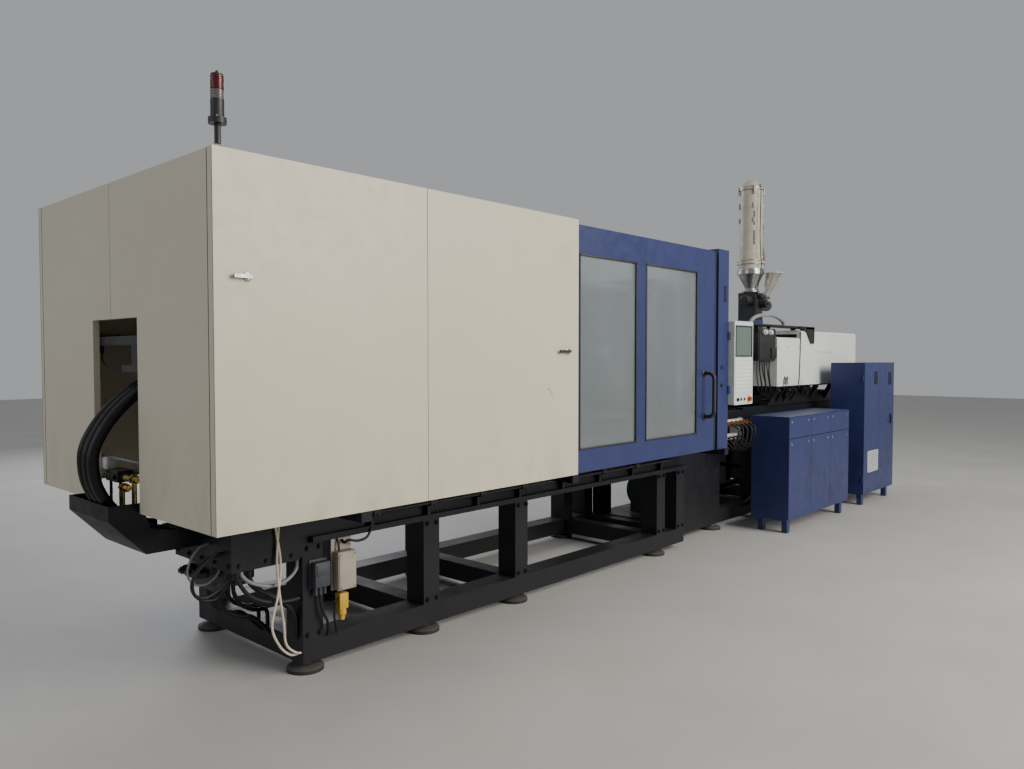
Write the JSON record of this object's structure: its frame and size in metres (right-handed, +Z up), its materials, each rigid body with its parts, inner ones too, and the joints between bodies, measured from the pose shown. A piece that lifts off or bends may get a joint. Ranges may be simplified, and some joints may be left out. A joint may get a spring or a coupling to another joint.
{
  "type": "injection moulding machine",
  "caption": "Toggle-clamp injection moulding machine: cream clamp cover, blue sliding safety gates, operator panel, injection unit with loader, and blue cabinets.",
  "frame": {"origin": "middle of the machine's length and width, on the floor", "axes": "+X from the clamp end to the injection end, +Y from the operator's side to the rear, +Z up"},
  "size_m": [8.5949, 2.1003, 3.5],
  "materials": {
    "cream_paint": "cream powder coat, scuffed",
    "blue_paint": "blue powder coat",
    "navy_paint": "dark blue paint with oily grime",
    "casting_paint": "dark blue paint on cast iron",
    "black_paint": "black satin paint",
    "pale_paint": "pale grey powder coat",
    "ground_steel": "ground and oiled",
    "chromed_steel": "hard chromed",
    "band_steel": "heat-tinted sheet steel",
    "hose_rubber": "black, slightly shiny",
    "window_pane": "clear plastic, scratched",
    "red_lens": "dark red translucent",
    "black_plastic": "black",
    "panel_plastic": "pale grey",
    "screen_glass": "dark display",
    "red_plastic": "red",
    "zinc_fitting": "zinc plated",
    "pipe_paint": "white",
    "motor_paint": "grey-blue",
    "loader_plastic": "off-white vessel",
    "funnel_plastic": "clear plastic, dusty",
    "foot_rubber": "black"
  },
  "bodies": {
    "frame": {"clamp_base": "navy_paint", "injection_base": "navy_paint", "levelling_mounts": "foot_rubber", "fixed_platen": "casting_paint", "tie_bars": "chromed_steel", "side_cover_panels": "cream_paint", "end_cover_panels": "cream_paint", "cover_roof": "cream_paint", "cover_frame": "navy_paint", "lamp_stand": "black_plastic", "lamp_lenses": "red_lens", "gate_posts": "blue_paint", "low_cabinet": "blue_paint", "tall_cabinet": "blue_paint", "hose_tray": "navy_paint", "end_bracket": "black_paint", "clamp_hoses": "hose_rubber", "cooling_manifold": "pipe_paint", "pump_unit": "motor_paint"},
    "tail": {"tail_platen": "casting_paint", "tail_toggle_pins": "ground_steel", "clamp_cylinder": "casting_paint", "die_height_gears": "ground_steel", "die_height_motor": "black_paint"},
    "rear_links_top": {"rear_link_top": "ground_steel"},
    "rear_links_bottom": {"rear_link_bottom": "ground_steel"},
    "moving": {"moving_platen": "casting_paint", "front_toggle_pins": "ground_steel"},
    "front_links_top": {"front_link_top": "ground_steel"},
    "front_links_bottom": {"front_link_bottom": "ground_steel"},
    "crosshead": {"crosshead": "ground_steel"},
    "cross_links_top": {"cross_link_top": "ground_steel"},
    "cross_links_bottom": {"cross_link_bottom": "ground_steel"},
    "ejector": {"ejector_plate": "ground_steel"},
    "front_gate": {"front_gate": "blue_paint", "front_gate_windows": "window_pane", "front_gate_handle": "black_plastic"},
    "rear_gate": {"rear_gate": "blue_paint", "rear_gate_windows": "window_pane"},
    "upper_latch": {"latch_lever_upper": "zinc_fitting"},
    "lower_latch": {"latch_lever_lower": "black_plastic"},
    "upper_button": {"post_button_upper": "black_plastic"},
    "lower_button": {"post_button_lower": "black_plastic"},
    "panel": {"operator_panel": "panel_plastic", "panel_screen": "screen_glass"},
    "stop_button": {"emergency_stop": "red_plastic"},
    "left_door": {"tall_door_left": "blue_paint"},
    "right_door": {"tall_door_right": "blue_paint"},
    "carriage": {"carriage": "black_paint", "barrel": "ground_steel", "heater_bands": "band_steel", "front_plate": "casting_paint", "injection_cylinders": "black_paint", "injection_covers": "pale_paint", "doser": "black_plastic", "loader": "loader_plastic", "feed_funnel": "funnel_plastic", "carriage_cylinders": "zinc_fitting"},
    "thrust": {"thrust_plate": "casting_paint"},
    "screw": {"screw": "chromed_steel"}
  },
  "joints": [
    {"name": "die_height", "type": "slide", "parent": "frame", "child": "tail", "axis": [1, 0, 0], "range_m": [0, 0.45]},
    {"name": "mould_stroke", "type": "slide", "parent": "tail", "child": "moving", "axis": [1, 0, 0], "range_m": [0, 0.74]},
    {"name": "rear_link_top_turn", "type": "hinge", "parent": "tail", "child": "rear_links_top", "pos_m": [-2.4325, 0, 2.125], "axis": [0, -1, 0], "range_deg": [0, 110.03]},
    {"name": "rear_link_bottom_turn", "type": "hinge", "parent": "tail", "child": "rear_links_bottom", "pos_m": [-2.4325, 0, 1.155], "axis": [0, 1, 0], "range_deg": [0, 110.03]},
    {"name": "front_link_top_turn", "type": "hinge", "parent": "moving", "child": "front_links_top", "pos_m": [-2.2225, 0, 2.125], "axis": [0, 1, 0], "range_deg": [0, 48.13]},
    {"name": "front_link_bottom_turn", "type": "hinge", "parent": "moving", "child": "front_links_bottom", "pos_m": [-2.2225, 0, 1.155], "axis": [0, -1, 0], "range_deg": [0, 48.13]},
    {"name": "crosshead_travel", "type": "slide", "parent": "tail", "child": "crosshead", "axis": [1, 0, 0], "range_m": [0, 0.3055]},
    {"name": "cross_link_top_turn", "type": "hinge", "parent": "crosshead", "child": "cross_links_top", "pos_m": [-2.34077, 0, 1.75], "axis": [0, 1, 0], "range_deg": [0, 54.43]},
    {"name": "cross_link_bottom_turn", "type": "hinge", "parent": "crosshead", "child": "cross_links_bottom", "pos_m": [-2.34077, 0, 1.53], "axis": [0, -1, 0], "range_deg": [0, 54.43]},
    {"name": "ejector_travel", "type": "slide", "parent": "moving", "child": "ejector", "axis": [1, 0, 0], "range_m": [0, 0.2]},
    {"name": "front_gate_travel", "type": "slide", "parent": "frame", "child": "front_gate", "axis": [-1, 0, 0], "range_m": [0, 1.5]},
    {"name": "rear_gate_travel", "type": "slide", "parent": "frame", "child": "rear_gate", "axis": [-1, 0, 0], "range_m": [0, 1.5]},
    {"name": "upper_latch_turn", "type": "hinge", "parent": "frame", "child": "upper_latch", "pos_m": [-3.9775, -1, 1.925], "axis": [0, 1, 0], "range_deg": [0, 90]},
    {"name": "lower_latch_turn", "type": "hinge", "parent": "frame", "child": "lower_latch", "pos_m": [-1.8905, -1, 1.632], "axis": [0, 1, 0], "range_deg": [0, 90]},
    {"name": "upper_button_press", "type": "slide", "parent": "frame", "child": "upper_button", "axis": [0, 1, 0], "range_m": [0, 0.004], "stiffness_N_per_m": 400},
    {"name": "lower_button_press", "type": "slide", "parent": "frame", "child": "lower_button", "axis": [0, 1, 0], "range_m": [0, 0.004], "stiffness_N_per_m": 400},
    {"name": "panel_swing", "type": "hinge", "parent": "frame", "child": "panel", "pos_m": [0.2255, -0.955, 1.55], "axis": [0, 0, -1], "range_deg": [0, 55]},
    {"name": "stop_press", "type": "slide", "parent": "panel", "child": "stop_button", "axis": [0, 1, 0], "range_m": [0, 0.005]},
    {"name": "left_door_swing", "type": "hinge", "parent": "frame", "child": "left_door", "pos_m": [3.1612, -0.988, 0.8], "axis": [0, 0, -1], "range_deg": [0, 110]},
    {"name": "right_door_swing", "type": "hinge", "parent": "frame", "child": "right_door", "pos_m": [4.1238, -0.988, 0.8], "axis": [0, 0, 1], "range_deg": [0, 110]},
    {"name": "carriage_travel", "type": "slide", "parent": "frame", "child": "carriage", "axis": [-1, 0, 0], "range_m": [0, 0.45]},
    {"name": "screw_stroke", "type": "slide", "parent": "carriage", "child": "thrust", "axis": [1, 0, 0], "range_m": [0, 0.38]},
    {"name": "screw_turn", "type": "hinge", "parent": "thrust", "child": "screw", "pos_m": [2.7775, 0, 1.64], "axis": [1, 0, 0], "continuous": true}
  ],
  "couplings": [
    {"joint": "rear_link_top_turn", "follows": "mould_stroke", "rad_per_m": 2.595},
    {"joint": "rear_link_bottom_turn", "follows": "mould_stroke", "rad_per_m": 2.595},
    {"joint": "front_link_top_turn", "follows": "mould_stroke", "rad_per_m": 1.1349},
    {"joint": "front_link_bottom_turn", "follows": "mould_stroke", "rad_per_m": 1.1349},
    {"joint": "crosshead_travel", "follows": "mould_stroke", "ratio": 0.41267},
    {"joint": "cross_link_top_turn", "follows": "mould_stroke", "rad_per_m": 1.2836},
    {"joint": "cross_link_bottom_turn", "follows": "mould_stroke", "rad_per_m": 1.2836}
  ]
}
